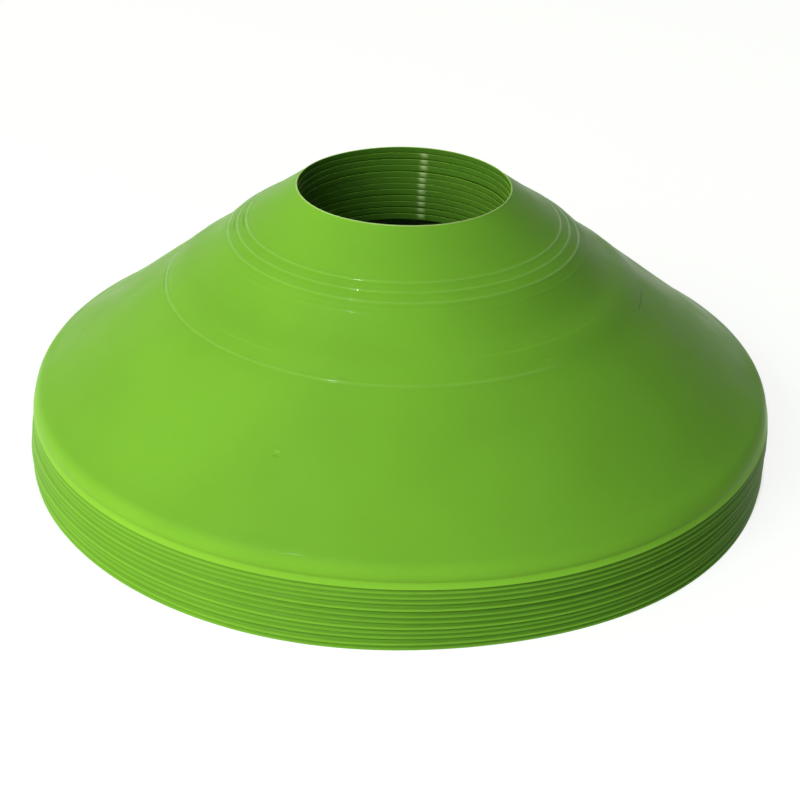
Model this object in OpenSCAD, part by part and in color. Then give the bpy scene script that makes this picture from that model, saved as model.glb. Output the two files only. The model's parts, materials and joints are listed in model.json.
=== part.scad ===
// Stack of nested low marker cones for sports training.
// Each cone is one thin moulding: a sloping shell with a round hole in its top,
// raised rings near the hole, a shoulder near the rim, and a short lip that turns down.
// Millimetres, +Z up, origin at the centre of the lowest foot, on the ground.

/* [Cone] */
// Diameter across the foot of each cone
base_d = 190; // [150:1:230]
// Diameter of the round hole in the top of each cone
hole_d = 52.5; // [40:0.5:70]
// Height of one cone, from its foot to the edge of its hole
cone_h = 54.3; // [45:0.1:70]
// Thickness of the wall, measured square to the slope; the steeper lip comes out thinner
wall = 0.85; // [0.65:0.05:1.2]

/* [Rim] */
// Distance from the outer edge to the shoulder, where the slope turns down into the lip
shoulder_w = 1.8; // [1.4:0.1:2.4]
// Height of the outer surface at the shoulder
shoulder_h = 4.4; // [3.8:0.1:5.4]
// Height of the small upright band round the foot
band_h = 0.45; // [0.35:0.05:0.6]

/* [Rounding] */
// Radius of the soft bend at the shoulder
shoulder_round = 4; // [2:0.5:5]
// Radius of the bend where the lip meets the upright band
band_round = 1; // [0.3:0.1:1.1]
// Radius on the edges of the hole
edge_round = 0.3; // [0.15:0.05:0.35]

/* [Rings] */
// Diameter of the smallest raised ring
ring_first_d = 77.8; // [72:0.1:84]
// Step in diameter from one fine ring to the next
ring_step_d = 4.2; // [3:0.1:6]
// Number of fine rings close together
ring_count = 3; // [1:1:5]
// Diameter of the single ring further down the slope
ring_lone_d = 117.8; // [106:0.1:140]
// Height of the rings above the slope
ring_h = 0.18; // [0.1:0.01:0.25]
// Radius of the bead that forms each ring
ring_bead_r = 0.35; // [0.3:0.01:0.4]

/* [Stack] */
// Gap between a ring and the cone that rests on it
ring_gap = 0.07; // [0.02:0.01:0.15]

/* [Hidden] */
$fn = 180;

// Steps in each rounded corner of the wall's outline
arc_steps = 6;
// Steps round the small bead of a ring
bead_fn = 48;

hole_r = hole_d / 2;
base_r = base_d / 2;
shoulder_r = base_r - shoulder_w;

// From the shoulder to the centre of the hole's rounded edge
edge_run = shoulder_r - hole_r - edge_round;
edge_rise = cone_h - edge_round - shoulder_h;
// The slope starts at the shoulder and just touches the hole's rounded edge
slope_a = atan(edge_rise / edge_run) + asin(edge_round / norm([edge_run, edge_rise]));
// Height at which the slope would meet the hole if the edge were sharp
crest_z = shoulder_h + (shoulder_r - hole_r) * tan(slope_a);

// The wall and the gap to the next cone, measured straight up
wall_v = wall / cos(slope_a);
gap_v = (ring_h + ring_gap) / cos(slope_a);
// Rise from one cone of the stack to the next
pitch = wall_v + gap_v;
// Radius at which the lip's inner side meets the ground
foot_r = shoulder_r + shoulder_w * (shoulder_h - wall_v) / (shoulder_h - band_h);

ring_radii = concat(
    [for (i = [0 : ring_count - 1]) (ring_first_d + i * ring_step_d) / 2],
    [ring_lone_d / 2]
);

function unit(v) = v / norm(v);

// Signed angle from one direction to another, the short way round
function turn_between(from, to) =
    let (a = to - from)
    a > 180 ? a - 360 : (a < -180 ? a + 360 : a);

// Points of the arc that rounds corner b, between a and c, to radius r
function corner_arc(a, b, c, r) =
    let (
        u = unit(a - b),
        v = unit(c - b),
        half = acos(u * v) / 2,
        centre = b + unit(u + v) * r / sin(half),
        start = b + u * r / tan(half) - centre,
        end = b + v * r / tan(half) - centre,
        from = atan2(start.y, start.x),
        turn = turn_between(from, atan2(end.y, end.x))
    )
    [for (i = [0 : arc_steps])
        let (at = from + turn * i / arc_steps)
        centre + r * [cos(at), sin(at)]
    ];

// Outline with every corner rounded to the radius at the same place in the list, or sharp at nought
function rounded(corners, radii) =
    let (n = len(corners))
    [for (i = [0 : n - 1])
        for (p = radii[i] == 0
            ? [corners[i]]
            : corner_arc(corners[(i + n - 1) % n], corners[i], corners[(i + 1) % n], radii[i])) p
    ];

// Corners of the wall, down the outside, along the flat foot and back up the inside,
// each with the radius that rounds it
wall_corners = [
    [[hole_r, crest_z], edge_round],
    [[shoulder_r, shoulder_h], shoulder_round],
    [[base_r, band_h], band_round],
    [[base_r, 0], 0],
    [[foot_r, 0], 0],
    [[shoulder_r, shoulder_h - wall_v], shoulder_round],
    [[hole_r, crest_z - wall_v], edge_round]
];

// Height of the outer slope at radius r
function slope_z(r) = crest_z - (r - hole_r) * tan(slope_a);

// Cut through the wall, from the hole to the foot
module wall_section() {
    polygon(rounded(
        [for (corner = wall_corners) corner[0]],
        [for (corner = wall_corners) corner[1]]
    ));
}

// Cut through one raised ring: a bead sunk into the slope
module ring_section(r) {
    translate([r, slope_z(r)])
        rotate(-slope_a)
            translate([0, ring_h - ring_bead_r])
                circle(r = ring_bead_r, $fn = bead_fn);
}

// One marker cone, standing on its own foot
module cone() {
    color([0.44, 0.75, 0.16])
        union() {
            rotate_extrude()
                wall_section();
            for (r = ring_radii)
                rotate_extrude()
                    ring_section(r);
        }
}

// The cone at one level of the stack, counted up from nought
module stacked_cone(level) {
    translate([0, 0, level * pitch])
        cone();
}

stacked_cone(0);  // cone_01
stacked_cone(1);  // cone_02
stacked_cone(2);  // cone_03
stacked_cone(3);  // cone_04
stacked_cone(4);  // cone_05
stacked_cone(5);  // cone_06
stacked_cone(6);  // cone_07
stacked_cone(7);  // cone_08
stacked_cone(8);  // cone_09
stacked_cone(9);  // cone_10
stacked_cone(10);  // cone_11
stacked_cone(11);  // cone_12
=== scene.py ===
"""Looks of a stack of nested marker cones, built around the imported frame.

Lengths are millimetres, unless their comment says metres, and the meshes are scaled to metres at the end.
Directions are degrees, counted from +X towards +Y, so the front of the stack is at 270 and its left at 180.
A reach is a pair: where something is full, and where it is gone.
"""
import json
import math

import bpy
import numpy as np
from mathutils import Matrix, Vector


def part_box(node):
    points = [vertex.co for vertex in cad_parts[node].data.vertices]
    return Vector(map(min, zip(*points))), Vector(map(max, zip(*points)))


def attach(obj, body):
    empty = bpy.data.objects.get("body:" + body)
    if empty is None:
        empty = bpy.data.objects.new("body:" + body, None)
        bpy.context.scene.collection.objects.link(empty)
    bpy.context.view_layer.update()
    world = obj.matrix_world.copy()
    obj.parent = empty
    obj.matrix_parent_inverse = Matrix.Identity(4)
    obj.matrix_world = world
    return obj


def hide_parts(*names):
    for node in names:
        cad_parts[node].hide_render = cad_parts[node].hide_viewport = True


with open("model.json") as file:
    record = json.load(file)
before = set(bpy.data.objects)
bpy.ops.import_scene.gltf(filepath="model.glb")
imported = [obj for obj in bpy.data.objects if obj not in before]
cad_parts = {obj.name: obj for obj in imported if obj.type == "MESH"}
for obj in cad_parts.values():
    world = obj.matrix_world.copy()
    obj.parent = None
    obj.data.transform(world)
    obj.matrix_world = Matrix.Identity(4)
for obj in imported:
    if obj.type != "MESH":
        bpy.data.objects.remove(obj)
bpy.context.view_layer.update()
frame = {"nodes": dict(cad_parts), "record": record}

MM = 0.001
FULL_TURN = 360

# Sizes of the real thing, read from the frame
NODES = sorted(frame["nodes"])
TOP_LEVEL = len(NODES) - 1
LOW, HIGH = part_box(NODES[0])
BASE_R = round(HIGH.x / MM)
CONE_H = HIGH.z / MM
PITCH = (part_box(NODES[1])[0].z - LOW.z) / MM
HOLE_R = next(m["dims"]["r_mm"] for m in frame["record"]["mounts"] if m["kind"] == "bore")

# Thickness of the slope, square to it, and of the lip
WALL = 0.85
LIP_THICK = 0.3
# Where the slope would meet the lip if the shoulder were sharp, and the radius of the foot before its flare
SHOULDER_R = BASE_R - 1.2
SHOULDER_H = 4.1
LIP_R = SHOULDER_R + 0.15
# The lip flares out to its foot by this much over this height, and on the top cone by more over more
FOOT_OUT = 0.30
FOOT_H = 1.3
TOP_FOOT_OUT = 0.50
TOP_FOOT_H = 3.2
# Radii of the bends at the shoulder and the foot, outside and inside
SHOULDER_ROUND = 5.0
INNER_SHOULDER_ROUND = 2.5
FOOT_ROUND = 0.08
INNER_FOOT_ROUND = 0.04
# Radius on the edges of the hole: on the top cone and on the others
TOP_HOLE_ROUND = 0.2
HOLE_ROUND = 0.12
# Width of the turned-down edge of the hole, seen from inside, and the bend beside it
COLLAR_W = 1.2
COLLAR_ROUND = 0.4
# Radius of the round edge that the line of the slope touches
EDGE_ROUND = 0.15

# Line of the slope, from the shoulder to the round edge at the hole
RUN = SHOULDER_R - HOLE_R - EDGE_ROUND
RISE = CONE_H - EDGE_ROUND - SHOULDER_H
SLOPE = math.atan2(RISE, RUN) + math.asin(EDGE_ROUND / math.hypot(RUN, RISE))
CREST_Z = SHOULDER_H + (SHOULDER_R - HOLE_R) * math.tan(SLOPE)
# The wall and the gap to the next cone, measured straight up
WALL_V = WALL / math.cos(SLOPE)
GAP_V = PITCH - WALL_V

# Height of the shell above its straight slope, at chosen radii
DOME = [(26.25, -0.15), (33.0, 0.08), (38.5, 0.45), (43.6, 0.88), (47.5, 0.28), (51.5, -0.12), (56.0, 0.38),
        (59.4, 0.05), (62.0, -0.09), (67.0, -0.16), (80.0, -0.42), (90.0, -0.25), (95.0, -0.1)]
# Raised rings: radius, height and the share of it left on the right, and half the width of them all
RINGS = [(38.9, 0.11, 0.5), (41.2, 0.11, 0.5), (43.5, 0.11, 0.5), (45.6, 0.03, 1.0), (59.4, 0.10, 0.0)]
RING_HALF = 0.46

# Points along the slope: their step, and the stretches near the hole and the shoulder that have none
SLOPE_STEP = 1.9
HOLE_CLEAR = 1.6
SHOULDER_CLEAR = 2.2
# Points close to the hole, as distances from it
HOLE_STEPS = (0.45, 0.6, 0.8, 1.1)
# Points across each ring, in shares of its half width, and the room kept for them
RING_SHARES = (-2, *np.linspace(-1, 1, 9), 1.5, 2)
RING_CLEAR = 2 * RING_HALF + 0.3
# Points down the outside and the inside of the lip, and the height of those inside
LIP_POINTS = 12
INNER_LIP_POINTS = 6
INNER_LIP_H = 1.8
# Points round each cone, and steps in each bend
SEGMENTS = 288
ARC_STEPS = 5

# Gap above each cone but the top one, at the rims and at the holes
RIM_GAPS = [0.16, 0.56, 0.18, 0.18, 0.40, 0.30, 0.54, 0.54, 0.18, 0.22, 0.18]
HOLE_GAPS = [0.68, 0.67, 0.58, 0.68, 0.58, 0.59, 0.58, 0.76, 0.58, 0.67, 0.58]
# How much of each gap at the holes stays open: elsewhere the turned-down edge above fills it
HOLE_SLITS = [0.16, 0.18, 0.06, 0.18, 0.05, 0.04, 0.06, 0.16, 0.05, 0.18, 0.07]
# Distances outwards from the hole, and inwards from the shoulder, over which the gaps become the frame's own
HOLE_ZONE = (2, 24)
RIM_ZONE = 18
# How much the gaps vary round the stack, and the turn of the waves from one cone to the next, in radians
RIM_WAVE = 0.30
RIM_WAVE_TURN = 1.7
HOLE_WAVE = 0.06
HOLE_WAVE_TURN = 2.3
# How much more each cone stands open on its left than on its right
LEAN = 0.077
# How much less each cone stands open at the front: the lower ones, the upper ones, and the levels between
LOW_SAG = 0.02
HIGH_SAG = 0.12
SAG_LEVELS = (6.0, 8.0)
# How far the cones have slid sideways: the lower ones, the upper ones, and the levels between
LOW_SHIFT = -0.18
HIGH_SHIFT = 0.38
SHIFT_LEVELS = (4.5, 9.0)
# How far the foot of each cone stands out beyond the top one's, and the heights between which that fades
FOOT_SHIFT = [0.90, 0.99, 0.84, 0.78, 0.98, 0.76, 0.68, 0.82, 0.54, 0.45, 0.24, 0.0]
FOOT_ZONE = (0.9, 2.0)
# Soft bulges of the lowest rim, which fade out up the stack: direction, reach to each side and size
BULGES = [(251, 38.4, 0.75), (310, 38.4, 1.45), (73, 38.4, 0.50), (140, 35.2, 0.70)]
# Ripples of the foot of each cone but the top one: their number, size and turn from one cone to the next
RIPPLES = [(3, 0.07, 0.9), (7, 0.05, 2.1)]
# How far each cone's hole edge stands in, and the width over which that fades
HOLE_IN = [0.02, 0.00, 0.03, -0.02, 0.02, 0.00, 0.01, 0.09, 0.01, -0.01, 0.02, 0.0]
HOLE_IN_W = 5

# Sides of the stack: the direction, and the cosines of the angle from it where a change starts and is full
FRONT = (270, 0.2, 1.0)
SHADED = (335, 0.1, 1.0)
FAINT = (338, 0.62, 0.95)

# Colours of the plastic: its own, a painted light for its edges, ring crests and lip, and a painted shade
# for where it is hardly lit
GREEN = (0.197, 0.480, 0.038)
PAINTED_LIGHT_GREEN = (0.29, 0.66, 0.050)
PAINTED_SHADE_GREEN = (0.068, 0.180, 0.016)
# Pale colour of the painted highlights and glints on the hole edges
HIGHLIGHT_GREEN = (0.60, 0.76, 0.36)

# Reaches, along the wall, of the painted highlight and the shine at the hole and at the foot
HOLE_EDGE = (0.15, 0.55)
FOOT_EDGE = (0.2, 0.6)
# The top cone's lip has painted light further up, in a wide and a narrow part, and a little way inside
WIDE_LIP = (2.6, 6.5)
NARROW_LIP = (0.2, 3.0)
INSIDE_LIP = (0.5, 2.0)
# The wide part's share of that painted light
WIDE_SHARE = 0.55
# How much painted highlight the hole and the foot have on each cone but the top one
HOLE_GLOW = [0.10, 0.15, 0.05, 0.20, 0.05, 0.05, 0.10, 0.55, 0.05, 0.15, 0.12]
FOOT_GLOW = [0.25, 0.50, 0.30, 0.15, 0.60, 0.15, 0.20, 0.60, 0.20, 0.30, 0.40]
# How much painted shade the lips below the top one have: everywhere, and besides on the shaded side
LIP_SHADE = 0.22
SHADED_LIP_SHADE = 0.52
# Its reach up from the foot, and the share of it that the edge of the foot loses
SHADE_REACH = (4.0, 6.0)
FOOT_CLEARS = 0.7
# A point this close to the hole's radius, below the edge, counts as inside the hole and has painted shade
IN_HOLE = 0.02
# How much painted highlight the crest of a ring has, and painted shade the groove outside it
CREST_GLOW = 0.15
GROOVE_SHADE = 0.07
# The groove's place, in half widths of a ring
GROOVE_AT = 1.5
# How shiny the edge of each hole and of a foot are, and a ring, as a multiple of its strength up to one
HOLE_SHINE = [0.7, 0.45, 0.9, 0.6, 0.4, 1.0, 0.75, 0.4, 1.0, 0.8, 0.5, 0.35]
FOOT_SHINE = 0.2
RING_SHINE = 3
# A painted glow, as emission, in place of light through a thin edge: everywhere, and besides on the top
# cone's shaded side
EDGE_LIGHT = 0.03
SHADED_EDGE_LIGHT = 0.10
# The painted highlight line round the top cone's hole: strength, place along the wall, and reach to each
# side of it
HOLE_HIGHLIGHT = 0.6
HOLE_HIGHLIGHT_AT = 0.38
HOLE_HIGHLIGHT_REACH = (0.06, 0.2)
# The small painted glints on the lower holes: strength, direction, and reach in degrees and along the wall
SPOT = 0.7
SPOT_AT = 79
SPOT_TURN_REACH = (0.5, 3.0)
SPOT_REACH = (0.1, 0.3)
# Fine marks on the top cone's slope: radius, first and last direction, half width, and lightness. The first
# three are pale scuffs, the next two a painted highlight and painted shadow of a small nub, and the last
# four painted shade beside the rings at the sides.
MARKS = [
    (54.6, 284, 332, 0.40, 0.25),
    (56.6, 218, 242, 0.40, 0.20),
    (58.0, 304, 307.5, 0.5, 0.3),
    # Painted highlight of a small nub, and its painted shadow just outside it
    (74.4, 248.2, 249.4, 0.50, 0.6),
    (75.3, 248.0, 249.6, 0.40, -0.3),
    # Painted shade beside the rings, where they turn away at the sides of the stack
    (39.7, 176, 193, 0.30, -0.6),
    (42.0, 178, 190, 0.30, -0.5),
    (59.9, 178, 192, 0.35, -0.5),
    (60.0, 343, 357, 0.35, -0.6),
]

# Gloss of the plastic: its own reflection, and its clear film from the dull places to the shiny ones
SPECULAR = 0.03
FILM = (0.02, 0.4)
FILM_ROUGHNESS = 0.08
# Light that wanders in the plastic: its share, and how far each colour goes
INNER_LIGHT = 0.2
INNER_REACH = (0.8, 1.0, 0.2)
# Part of a noise's values that a change is spread over
NOISE_SPREAD = (0.3, 0.7)
# Clouds in the colour and patches in the roughness: scale, and the values that they go between
CLOUD_SCALE = 28.0
CLOUDS = (0.955, 1.045)
PATCH_SCALE = 90.0
PATCH_DETAIL = 4.0
PATCHES = (0.30, 0.42)
# Bumps: the fine grain, and the faint lines round the cone
GRAIN_SCALE = 700.0
GRAIN_H = 0.006
LINE_SCALE = 900.0
LINE_H = 0.012

# The floor: half its width in metres, and its brightness in the open
FLOOR_HALF = 6.0
FLOOR_GLOW = 0.87
# The glow fades out under the stack between these radii, so that the hollow stays dark
FLOOR_FADE = (BASE_R - 2, BASE_R + 1)
# The floor's colour in the open, and under the stack a painted green light, in place of light that comes
# through the plastic
FLOOR_GREY = (0.25, 0.25, 0.25)
PAINTED_GREEN_LIGHT = (0.12, 0.34, 0.06)
# Its colour for the light that it throws back onto the cones
FLOOR_DULL = (0.06, 0.06, 0.06)

# Light from all round: its colour, and its strength low down and high up in the sky
SKY = (0.95, 1, 0.95)
SKY_HEIGHTS = (-0.1, 0.8)
SKY_STRENGTHS = (0.03, 0.15)
# Distance of every lamp in metres
LAMP_DISTANCE = 1.6
# Broad lamps: name, direction, elevation, size in metres, power in watts and colour
BROAD_LAMPS = [
    ("key_warm", 202, 32, 1.3, 14.8, (1, 0.83, 0.7)),
    ("key_plain", 238, 32, 1.3, 17.4, (0.86, 1, 0.9)),
    ("warm_bounce", 58, 8, 0.8, 1.9, (1, 0.62, 0.25)),
]
# The small lamp that gives the glints, in the same form
SPARK_LAMP = ("spark", 229.5, 56, 0.08, 7, (1, 1, 1))

# The camera: focal length and image in pixels, sensor width, distance and aim in metres, and its angles
FOCAL_PX = 1608.4
IMAGE_PX = 800
SENSOR = 36.0
CAMERA_DISTANCE = 0.4247
CAMERA_AIM = (0.00012, 0, 0.00869)
CAMERA_ELEVATION = 28.87
CAMERA_ROLL = 0.87


def smooth(x, low, high):
    """Nought below low, one above high, and a soft rise between them."""
    t = np.clip((np.asarray(x, float) - low) / (high - low), 0.0, 1.0)
    return t * t * (3 - 2 * t)


def fade(x, full, gone):
    """One up to full, nought from gone on, and a soft fall between them."""
    return 1 - smooth(x, full, gone)


def facing(angle, towards, start, full):
    """One towards a side of the stack, nought away from it."""
    return smooth(np.cos(angle - math.radians(towards)), start, full)


def near_hole(r):
    """One at the hole, nought well away from it."""
    near, far = HOLE_ZONE
    return fade(r, HOLE_R + near, HOLE_R + far)


def curve(x, knots):
    """A smooth curve through the knots."""
    xs, ys = np.array(knots).T
    slopes = np.gradient(ys, xs)
    i = int(np.clip(np.searchsorted(xs, x) - 1, 0, len(xs) - 2))
    span = xs[i + 1] - xs[i]
    t = min(max((x - xs[i]) / span, 0.0), 1.0)
    start = (1 + 2 * t) * (1 - t) ** 2 * ys[i] + t * (1 - t) ** 2 * span * slopes[i]
    end = t * t * (3 - 2 * t) * ys[i + 1] + t * t * (t - 1) * span * slopes[i + 1]
    return start + end


def corner_arc(a, b, c, r):
    """Points of the arc that rounds corner b, between a and c, to radius r."""
    a, b, c = (np.array(p, float) for p in (a, b, c))
    u = (a - b) / np.linalg.norm(a - b)
    v = (c - b) / np.linalg.norm(c - b)
    half = math.acos(float(u @ v)) / 2
    centre = b + (u + v) / np.linalg.norm(u + v) * r / math.sin(half)
    start = b + u * r / math.tan(half) - centre
    end = b + v * r / math.tan(half) - centre
    first = math.atan2(start[1], start[0])
    turn = math.remainder(math.atan2(end[1], end[0]) - first, 2 * math.pi)
    angles = [first + turn * i / ARC_STEPS for i in range(ARC_STEPS + 1)]
    return [centre + r * np.array([math.cos(t), math.sin(t)]) for t in angles]


def ring_height(r, faint):
    """Height of the rings at radius r, square to the slope: in full, or as faint as on the right."""
    total = 0.0
    for ring, height, share in RINGS:
        total += height * (share if faint else 1.0) * float(fade(abs(r - ring), 0, RING_HALF))
    return total


def lengths_along(outline):
    """Length along the outline from its first point to each point."""
    return np.concatenate([[0], np.cumsum(np.hypot(*np.diff(outline, axis=0).T))])


def slope_radii():
    """Radii of the points along the slope: a steady step, and close ones at the hole and each ring."""
    steady = np.arange(HOLE_R + HOLE_CLEAR, SHOULDER_R - SHOULDER_CLEAR, SLOPE_STEP)
    between = [r for r in steady if all(abs(r - ring) > RING_CLEAR for ring, _, _ in RINGS)]
    rings = [ring + RING_HALF * share for ring, _, _ in RINGS for share in RING_SHARES]
    edge = [HOLE_R + step for step in HOLE_STEPS]
    return sorted([*edge, *between, *rings])


def slope_points(drop, faint):
    """Points along the slope, lowered by drop, with the dome and the rings on them."""
    points = []
    for r in slope_radii():
        h = ring_height(r, faint)
        z = CREST_Z - (r - HOLE_R) * math.tan(SLOPE) + curve(r, DOME) - drop
        points.append(np.array([r + h * math.sin(SLOPE), z + h * math.cos(SLOPE)]))
    return points


def lip_points(top_r, foot_r, top_z, count):
    """Points down one side of the lip, from below the shoulder to just above the ground."""
    shares = [(i + 1) / (count + 1) for i in range(count)]
    return [np.array([top_r + (foot_r - top_r) * t, top_z * (1 - t)]) for t in shares]


def wall_outline(level, faint=False):
    """The closed outline of one cone's wall: down the outside to the foot, and back up the inside."""
    hole_round = TOP_HOLE_ROUND if level == TOP_LEVEL else HOLE_ROUND
    # The turned-down edge of the hole fills the gap below it, but for the slit
    bead = HOLE_GAPS[level - 1] - HOLE_SLITS[level - 1] if level else HOLE_GAPS[0]
    inner_r = LIP_R - LIP_THICK
    corners = [
        ((HOLE_R, CREST_Z), hole_round),
        ((SHOULDER_R, SHOULDER_H), SHOULDER_ROUND),
        ((LIP_R, 0.0), FOOT_ROUND),
        ((inner_r, 0.0), INNER_FOOT_ROUND),
        ((inner_r, SHOULDER_H - WALL_V), INNER_SHOULDER_ROUND),
        ((HOLE_R + COLLAR_W, CREST_Z - WALL_V - COLLAR_W * math.tan(SLOPE)), COLLAR_ROUND),
        ((HOLE_R, CREST_Z - WALL_V - bead), HOLE_ROUND),
    ]
    arcs = []
    for i, (corner, radius) in enumerate(corners):
        arcs.append(corner_arc(corners[i - 1][0], corner, corners[(i + 1) % len(corners)][0], radius))
    hole, shoulder, foot, inner_foot, inner_shoulder, collar, hole_bottom = arcs
    return np.array([
        *hole, *slope_points(0, faint), *shoulder,
        *lip_points(SHOULDER_R, LIP_R, shoulder[-1][1], LIP_POINTS), *foot, *inner_foot,
        *lip_points(inner_r, inner_r, INNER_LIP_H, INNER_LIP_POINTS)[::-1], *inner_shoulder,
        *slope_points(WALL_V, faint)[::-1], *collar, *hole_bottom,
    ])


def gap_field(level, r, angle):
    """Gap above one cone at each radius and angle, straight up."""
    at_hole = near_hole(r)
    at_rim = smooth(r, SHOULDER_R - RIM_ZONE, SHOULDER_R)
    # Two to four waves at the rim, and three or four at the hole
    rim_waves, hole_waves = 2 + level % 3, 3 + level % 2
    wave = 1 + RIM_WAVE * np.sin(rim_waves * angle + RIM_WAVE_TURN * level) * at_rim
    wave += HOLE_WAVE * np.sin(hole_waves * angle + HOLE_WAVE_TURN * level) * at_hole
    gap = GAP_V + (RIM_GAPS[level] - GAP_V) * at_rim + (HOLE_GAPS[level] - GAP_V) * at_hole
    sag = LOW_SAG + (HIGH_SAG - LOW_SAG) * smooth(level, *SAG_LEVELS)
    return gap * wave - LEAN * np.cos(angle) * r / BASE_R - sag * facing(angle, *FRONT) * at_rim


def lift(level, r, angle):
    """Height of one cone above where it would stand alone on the floor."""
    # The lowest hole lies lower by what the gaps above it have too much
    total = (len(HOLE_GAPS) * GAP_V - sum(HOLE_GAPS)) * near_hole(r) + 0 * angle
    for below in range(level):
        total = total + WALL_V + gap_field(below, r, angle)
    return total


def bulge(angle):
    """How far the lowest rim stands out at each angle."""
    total = 0 * angle
    half_turn = FULL_TURN / 2
    for towards, reach, size in BULGES:
        away = np.abs((np.degrees(angle) - towards + half_turn) % FULL_TURN - half_turn)
        total = total + size * fade(away, 0, reach)
    return total


def surface_values(outline, level, angle):
    """Where the plastic has painted light, painted shade, painted highlights and a painted glow, and where
    it is shiny.
    """
    r, z = outline.T
    top = level == TOP_LEVEL
    shaded = facing(angle, *SHADED)
    along = lengths_along(outline)
    above = along[int(np.argmax(r))] - along
    outside = above > 0
    hole_edge = fade(along, *HOLE_EDGE)
    foot_edge = fade(np.abs(above), *FOOT_EDGE)
    in_hole = np.where((r < HOLE_R + IN_HOLE) & (z < CREST_Z - HOLE_ROUND), 1.0, 0.0)
    # Top cone: painted light up its lip and at its hole edge, painted shade in the hole, a painted glow in
    # the lip, a painted highlight line round the hole
    if top:
        lip = WIDE_SHARE * fade(above, *WIDE_LIP) + (1 - WIDE_SHARE) * fade(above, *NARROW_LIP)
        lip = lip * fade(-above, *INSIDE_LIP)
        glow = np.maximum(lip, hole_edge)
        shade = in_hole
        through = (EDGE_LIGHT + SHADED_EDGE_LIGHT * shaded) * lip
        worn = HOLE_HIGHLIGHT * fade(np.abs(along - HOLE_HIGHLIGHT_AT), *HOLE_HIGHLIGHT_REACH)
    else:
        # Other cones: painted highlights at foot and hole edges, painted shade on the lips and in the hole,
        # a painted glow at the foot, painted glints on the hole edges
        glow = FOOT_GLOW[level] * foot_edge + HOLE_GLOW[level] * hole_edge
        lip_shade = (LIP_SHADE + SHADED_LIP_SHADE * shaded) * fade(above, *SHADE_REACH) * outside
        shade = np.maximum(in_hole, lip_shade * (1 - FOOT_CLEARS * foot_edge))
        through = EDGE_LIGHT * foot_edge
        away = np.abs(np.degrees(angle) - SPOT_AT)
        worn = SPOT * fade(away, *SPOT_TURN_REACH) * fade(along, *SPOT_REACH)
    shine = np.maximum(HOLE_SHINE[level] * hole_edge, FOOT_SHINE * foot_edge)
    # Painted highlight on each ring's crest, and painted shade in the groove outside it
    for ring, height, share in RINGS:
        strength = outside * (height / RINGS[0][1]) ** 2 * (1 - (1 - share) * facing(angle, *FAINT))
        crest = fade(np.abs(r - ring), 0, RING_HALF)
        groove = fade(np.abs(r - ring - GROOVE_AT * RING_HALF), 0, RING_HALF)
        glow = glow + CREST_GLOW * strength * crest
        shade = shade + GROOVE_SHADE * strength * groove
        shine = np.maximum(shine, crest * np.minimum(1.0, RING_SHINE * strength))
    return {"glow": glow, "shade": shade, "shine": shine, "worn": worn, "through": through}


def cone_points(outline, level, angle):
    """Points of one cone, for each angle and each point of its outline."""
    faint = (wall_outline(level, faint=True) - outline) * facing(angle, *FAINT)[:, :, None]
    r, own_z = np.moveaxis(outline + faint, 2, 0)
    z = own_z + lift(level, r, angle)
    top = level == TOP_LEVEL
    out = FOOT_SHIFT[level] + (1 - level / TOP_LEVEL) * bulge(angle)
    if not top:
        out = out + sum(size * np.sin(count * angle + turn * level) for count, size, turn in RIPPLES)
    flare, flare_h = (TOP_FOOT_OUT, TOP_FOOT_H) if top else (FOOT_OUT, FOOT_H)
    r = r + out * fade(own_z, *FOOT_ZONE) + flare * np.clip(1 - own_z / flare_h, 0, 1) ** 2
    r = r - HOLE_IN[level] * fade(r, HOLE_R, HOLE_R + HOLE_IN_W)
    shift = LOW_SHIFT + (HIGH_SHIFT - LOW_SHIFT) * smooth(level, *SHIFT_LEVELS)
    return np.stack([r * np.cos(angle) + shift, r * np.sin(angle), z], axis=2)


def cone_mesh(name, level):
    """One cone of the stack as a closed revolved mesh."""
    outline = wall_outline(level)
    count = len(outline)
    angle = np.linspace(0, 2 * math.pi, SEGMENTS, endpoint=False)[:, None]
    points = cone_points(outline, level, angle).reshape(-1, 3) * MM
    j, i = np.meshgrid(np.arange(SEGMENTS), np.arange(count), indexing="ij")
    next_j, next_i = (j + 1) % SEGMENTS, (i + 1) % count
    corners = [j * count + i, j * count + next_i, next_j * count + next_i, next_j * count + i]
    mesh = bpy.data.meshes.new(name)
    mesh.from_pydata(points.tolist(), [], np.stack(corners, axis=2).reshape(-1, 4).tolist())

    along = lengths_along(outline)
    turn = np.stack([j, j, j + 1, j + 1], axis=2) / SEGMENTS
    length = np.stack([along[i], along[next_i], along[next_i], along[i]], axis=2) * MM
    uv = mesh.uv_layers.new(name="wall")
    uv.data.foreach_set("uv", np.stack([turn, length], axis=3).reshape(-1))
    for kind, values in surface_values(outline, level, angle).items():
        values = (values + 0 * angle).reshape(-1)
        mesh.attributes.new(kind, "FLOAT", "POINT").data.foreach_set("value", values)
    mesh.shade_smooth()
    mesh.update()
    return mesh


def put(tree, socket, value):
    """Links an output to a socket, or sets the socket to a plain value."""
    if isinstance(value, bpy.types.NodeSocket):
        tree.links.new(value, socket)
    else:
        socket.default_value = value


def calc(tree, operation, first, second=0.0):
    """The result of one step of arithmetic."""
    node = tree.nodes.new("ShaderNodeMath")
    node.operation = operation
    put(tree, node.inputs[0], first)
    put(tree, node.inputs[1], second)
    return node.outputs[0]


def ramp(tree, value, low, high, to_low=0.0, to_high=1.0):
    """A soft change of the value from to_low at low to to_high at high."""
    node = tree.nodes.new("ShaderNodeMapRange")
    node.interpolation_type = "SMOOTHSTEP"
    put(tree, node.inputs["Value"], value)
    for socket, number in zip(("From Min", "From Max", "To Min", "To Max"), (low, high, to_low, to_high)):
        node.inputs[socket].default_value = number
    return node.outputs[0]


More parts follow.
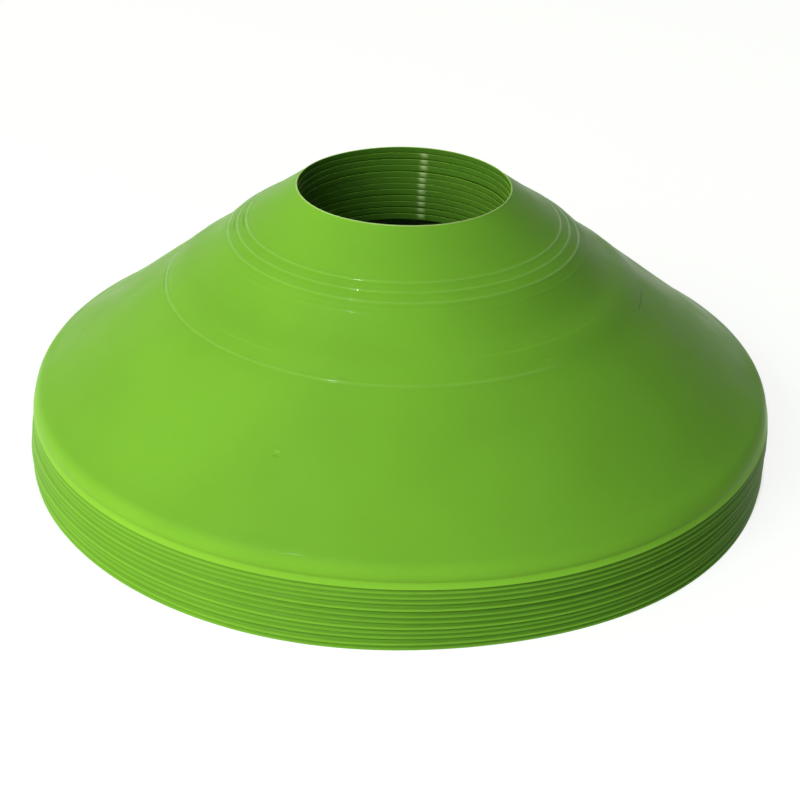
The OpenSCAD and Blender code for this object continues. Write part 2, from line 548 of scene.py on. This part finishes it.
def noise(tree, place, scale, detail=2.0):
    """Soft noise in space."""
    node = tree.nodes.new("ShaderNodeTexNoise")
    put(tree, node.inputs["Vector"], place)
    node.inputs["Scale"].default_value = scale
    node.inputs["Detail"].default_value = detail
    return node.outputs["Fac"]


def line_noise(tree, length, scale):
    """Soft noise along one length."""
    node = tree.nodes.new("ShaderNodeTexNoise")
    node.noise_dimensions = "1D"
    put(tree, node.inputs["W"], length)
    node.inputs["Scale"].default_value = scale
    return node.outputs["Fac"]


def blend(tree, factor, first, second):
    """A mix of two colours, each a triple or an output."""
    node = tree.nodes.new("ShaderNodeMix")
    node.data_type = "RGBA"
    put(tree, node.inputs["Factor"], factor)
    for socket, colour in (("A", first), ("B", second)):
        put(tree, node.inputs[socket], (*colour, 1) if isinstance(colour, tuple) else colour)
    return node.outputs["Result"]


def attribute(tree, name):
    """One of the surface values of the mesh."""
    node = tree.nodes.new("ShaderNodeAttribute")
    node.attribute_name = name
    return node.outputs["Fac"]


def wall_place(tree):
    """Share of a turn round the cone, and length along the wall's outline, in metres."""
    wall = tree.nodes.new("ShaderNodeUVMap")
    wall.uv_map = "wall"
    split = tree.nodes.new("ShaderNodeSeparateXYZ")
    tree.links.new(wall.outputs[0], split.inputs[0])
    return split.outputs["X"], split.outputs["Y"]


def line_mark(tree, turn, length, mark):
    """A fine line round the slope that fades out at both ends: one on it, nought off it."""
    r, start, end, half_width, _ = mark
    outline = wall_outline(TOP_LEVEL)
    upto = int(np.argmax(outline[:, 0]))
    at = float(np.interp(r, outline[:upto, 0], lengths_along(outline)[:upto])) * MM
    off = calc(tree, "ABSOLUTE", calc(tree, "SUBTRACT", length, at))
    across = ramp(tree, off, 0.0, half_width * MM, 1.0, 0.0)
    middle, half = (start + end) / 2 / FULL_TURN, (end - start) / 2 / FULL_TURN
    away = calc(tree, "ABSOLUTE", calc(tree, "SUBTRACT", turn, middle))
    return calc(tree, "MULTIPLY", across, ramp(tree, away, half / 2, half, 1.0, 0.0))


def plastic_colour(tree, place, turn, length, marks):
    """The green of the plastic, with painted light at its edges and ring crests, painted shade, marks,
    painted highlights and clouds.
    """
    glow, painted_shade = attribute(tree, "glow"), attribute(tree, "shade")
    # Pale scuffs and the nub's painted highlight add to the painted light, the other marks add painted shade
    for mark in marks:
        lightness = mark[-1]
        strength = calc(tree, "MULTIPLY", line_mark(tree, turn, length, mark), abs(lightness))
        if lightness > 0:
            glow = calc(tree, "ADD", glow, strength)
        else:
            painted_shade = calc(tree, "ADD", painted_shade, strength)
    # Painted light, then painted shade, then painted highlights over the green
    colour = blend(tree, glow, GREEN, PAINTED_LIGHT_GREEN)
    colour = blend(tree, painted_shade, colour, PAINTED_SHADE_GREEN)
    colour = blend(tree, attribute(tree, "worn"), colour, HIGHLIGHT_GREEN)
    clouds = tree.nodes.new("ShaderNodeHueSaturation")
    put(tree, clouds.inputs["Color"], colour)
    put(tree, clouds.inputs["Value"], ramp(tree, noise(tree, place, CLOUD_SCALE), *NOISE_SPREAD, *CLOUDS))
    return clouds.outputs[0]


def plastic_bump(tree, place, length):
    """The fine grain of the plastic, and the faint lines round the cone."""
    grain = calc(tree, "MULTIPLY", noise(tree, place, GRAIN_SCALE), GRAIN_H * MM)
    lines = calc(tree, "MULTIPLY", line_noise(tree, length, LINE_SCALE), LINE_H * MM)
    bump = tree.nodes.new("ShaderNodeBump")
    bump.inputs["Distance"].default_value = 1.0
    put(tree, bump.inputs["Height"], calc(tree, "ADD", grain, lines))
    return bump.outputs[0]


def plastic(name, marks):
    """Soft green plastic, with the fine marks of its mould and of its use, and painted light and shade."""
    material = bpy.data.materials.new(name)
    material.use_nodes = True
    tree = material.node_tree
    shader = tree.nodes["Principled BSDF"]
    shader.inputs["Specular IOR Level"].default_value = SPECULAR
    shader.inputs["Coat Roughness"].default_value = FILM_ROUGHNESS
    shader.inputs["Subsurface Weight"].default_value = INNER_LIGHT
    shader.inputs["Subsurface Radius"].default_value = INNER_REACH
    shader.inputs["Subsurface Scale"].default_value = MM

    turn, length = wall_place(tree)
    place = tree.nodes.new("ShaderNodeTexCoord").outputs["Object"]
    patches = noise(tree, place, PATCH_SCALE, PATCH_DETAIL)
    bump = plastic_bump(tree, place, length)
    put(tree, shader.inputs["Base Color"], plastic_colour(tree, place, turn, length, marks))
    put(tree, shader.inputs["Coat Weight"], ramp(tree, attribute(tree, "shine"), 0.0, 1.0, *FILM))
    # A painted glow: emission at thin edges, in place of light through them
    put(tree, shader.inputs["Emission Color"], (*PAINTED_LIGHT_GREEN, 1))
    put(tree, shader.inputs["Emission Strength"], attribute(tree, "through"))
    put(tree, shader.inputs["Roughness"], ramp(tree, patches, *NOISE_SPREAD, *PATCHES))
    put(tree, shader.inputs["Normal"], bump)
    put(tree, shader.inputs["Coat Normal"], bump)
    return material


def make_cones():
    """A modelled cone in place of each node, riding on the same body."""
    green = plastic("green_plastic_wall", [])
    marked_green = plastic("green_plastic_top", MARKS)
    for level, node in enumerate(NODES):
        piece = bpy.data.objects.new(node + "_wall", cone_mesh(node + "_wall", level))
        bpy.context.collection.objects.link(piece)
        piece.data.materials.append(marked_green if level == TOP_LEVEL else green)
        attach(piece, node)
        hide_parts(node)


def seen_rays(tree):
    """A value that is one for the rays that show the background: camera, glossy and transmission rays."""
    path = tree.nodes.new("ShaderNodeLightPath")
    value = path.outputs["Is Camera Ray"]
    for name in ("Is Glossy Ray", "Is Transmission Ray"):
        value = calc(tree, "MAXIMUM", value, path.outputs[name])
    return value


def diffuse(tree, colour):
    """A plain matt shader, its colour a triple or an output."""
    node = tree.nodes.new("ShaderNodeBsdfDiffuse")
    put(tree, node.inputs["Color"], (*colour, 1) if isinstance(colour, tuple) else colour)
    return node.outputs[0]


def show_seen(tree, unseen, seen, out):
    """Sends one shader to the rays that show the background, and the other to all the rest."""
    both = tree.nodes.new("ShaderNodeMixShader")
    for socket, value in zip(both.inputs, (seen_rays(tree), unseen, seen)):
        tree.links.new(value, socket)
    tree.links.new(both.outputs[0], out.inputs["Surface"])


def make_floor():
    """A pale floor that keeps the stack's shadow, and throws little light back onto it."""
    mesh = bpy.data.meshes.new("floor")
    corners = [(x * FLOOR_HALF, y * FLOOR_HALF, 0) for x, y in ((-1, -1), (1, -1), (1, 1), (-1, 1))]
    mesh.from_pydata(corners, [], [(0, 1, 2, 3)])
    floor = bpy.data.objects.new("floor", mesh)
    bpy.context.collection.objects.link(floor)
    material = bpy.data.materials.new("floor")
    material.use_nodes = True
    tree = material.node_tree
    tree.nodes.clear()
    out = tree.nodes.new("ShaderNodeOutputMaterial")

    distance = tree.nodes.new("ShaderNodeVectorMath")
    distance.operation = "LENGTH"
    put(tree, distance.inputs[0], tree.nodes.new("ShaderNodeTexCoord").outputs["Object"])
    fade_radii = [r * MM for r in FLOOR_FADE]
    in_the_open = ramp(tree, distance.outputs["Value"], *fade_radii, 0.0, FLOOR_GLOW)
    glow = tree.nodes.new("ShaderNodeEmission")
    put(tree, glow.inputs["Color"], (1, 1, 1, 1))
    put(tree, glow.inputs["Strength"], in_the_open)
    pale = tree.nodes.new("ShaderNodeAddShader")
    put(tree, pale.inputs[0], glow.outputs[0])
    # Under the stack the floor has a painted green light, in place of light through the plastic
    put(tree, pale.inputs[1], diffuse(tree, blend(tree, in_the_open, PAINTED_GREEN_LIGHT, FLOOR_GREY)))
    show_seen(tree, diffuse(tree, FLOOR_DULL), pale.outputs[0], out)
    mesh.materials.append(material)


def make_world():
    """Soft light from the sky, and a white background."""
    world = bpy.data.worlds.new("studio")
    bpy.context.scene.world = world
    world.use_nodes = True
    tree = world.node_tree
    tree.nodes.clear()
    out = tree.nodes.new("ShaderNodeOutputWorld")
    sky = tree.nodes.new("ShaderNodeSeparateXYZ")
    put(tree, sky.inputs[0], tree.nodes.new("ShaderNodeTexCoord").outputs["Generated"])
    fill = tree.nodes.new("ShaderNodeBackground")
    put(tree, fill.inputs["Color"], (*SKY, 1))
    put(tree, fill.inputs["Strength"], ramp(tree, sky.outputs["Z"], *SKY_HEIGHTS, *SKY_STRENGTHS))
    white = tree.nodes.new("ShaderNodeBackground")
    put(tree, white.inputs["Color"], (1, 1, 1, 1))
    put(tree, white.inputs["Strength"], 1.0)
    show_seen(tree, fill.outputs[0], white.outputs[0], out)


def area_lamp(name, azimuth, elevation, size, power, colour):
    """A round lamp that faces the stack from one direction."""
    data = bpy.data.lights.new(name, "AREA")
    data.shape = "DISK"
    data.size = size
    data.energy = power
    data.color = colour
    lamp = bpy.data.objects.new(name, data)
    bpy.context.collection.objects.link(lamp)
    a, e = math.radians(azimuth), math.radians(elevation)
    towards = Vector((math.cos(e) * math.cos(a), math.cos(e) * math.sin(a), math.sin(e)))
    lamp.location = towards * LAMP_DISTANCE
    lamp.rotation_euler = towards.to_track_quat("Z", "Y").to_euler()
    return lamp


def make_lights():
    """Broad lamps that leave no mirror image in the cones, and a small one that gives only glints."""
    for lamp in BROAD_LAMPS:
        area_lamp(*lamp).visible_glossy = False
    area_lamp(*SPARK_LAMP).visible_diffuse = False


def make_camera():
    """A camera at the viewing angle of the photo."""
    elevation, roll = math.radians(CAMERA_ELEVATION), math.radians(CAMERA_ROLL)
    data = bpy.data.cameras.new("camera")
    data.sensor_width = SENSOR
    data.lens = FOCAL_PX / IMAGE_PX * SENSOR
    camera = bpy.data.objects.new("camera", data)
    bpy.context.collection.objects.link(camera)
    back = Vector((0, -math.cos(elevation), math.sin(elevation))) * CAMERA_DISTANCE
    turn = Matrix.Rotation(math.pi / 2 - elevation, 4, "X") @ Matrix.Rotation(roll, 4, "Z")
    camera.matrix_world = Matrix.Translation(Vector(CAMERA_AIM) + back) @ turn
    bpy.context.scene.camera = camera


make_cones()
make_floor()
make_world()
make_lights()
make_camera()
bpy.context.scene.view_settings.view_transform = "Standard"
